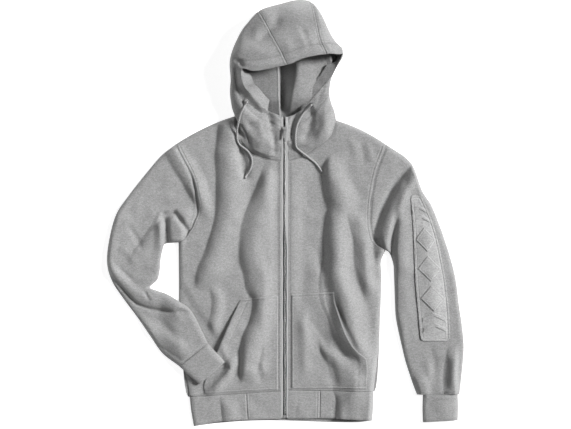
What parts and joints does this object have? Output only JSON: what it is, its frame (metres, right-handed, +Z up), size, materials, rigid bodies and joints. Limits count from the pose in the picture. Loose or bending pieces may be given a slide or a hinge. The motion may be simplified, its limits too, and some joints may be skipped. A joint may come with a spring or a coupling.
{
  "type": "zip up hoodie",
  "caption": "Grey heather fleece hoodie with a full zip, kangaroo pockets, drawcord hood, rib cuffs and rib hem, laid flat with one sleeve bent over the front.",
  "frame": {"origin": "on the floor, under the middle of the box of the laid-out garment without its drawcords", "axes": "+Z up from the floor, +Y towards the hood, +X towards the straight sleeve"},
  "size_m": [0.838, 0.9976, 0.0966],
  "materials": {
    "fleece": "grey heather brushed fleece",
    "rib": "grey heather rib knit",
    "patch": "raw-edge jersey",
    "tape": "woven zip tape",
    "zip": "satin nickel",
    "eyelet": "satin nickel",
    "cord": "round braided cotton"
  },
  "bodies": {
    "garment": {"back_panel": "fleece", "front_left": "fleece", "front_right": "fleece", "sleeve_left": "fleece", "sleeve_right": "fleece", "pocket_left": "fleece", "pocket_right": "fleece", "hood_side_left": "fleece", "hood_centre": "fleece", "hood_side_right": "fleece", "cuff_left": "rib", "cuff_right": "rib", "hem_band": "rib", "hem_end_left": "rib", "hem_end_right": "rib", "sleeve_patch": "patch", "zip_tape_left": "tape", "zip_tape_right": "tape", "zip_chain": "zip", "zip_slider": "zip", "zip_stop": "zip", "eyelet_left": "eyelet", "eyelet_right": "eyelet", "drawcord_left": "cord", "drawcord_right": "cord"},
    "pull": {"zip_pull": "zip"}
  },
  "joints": [
    {"name": "pull_swing", "type": "hinge", "parent": "garment", "child": "pull", "pos_m": [-0.00153, 0.19625, 0.03285], "axis": [-1, 0, 0], "range_deg": [0, 150]}
  ]
}
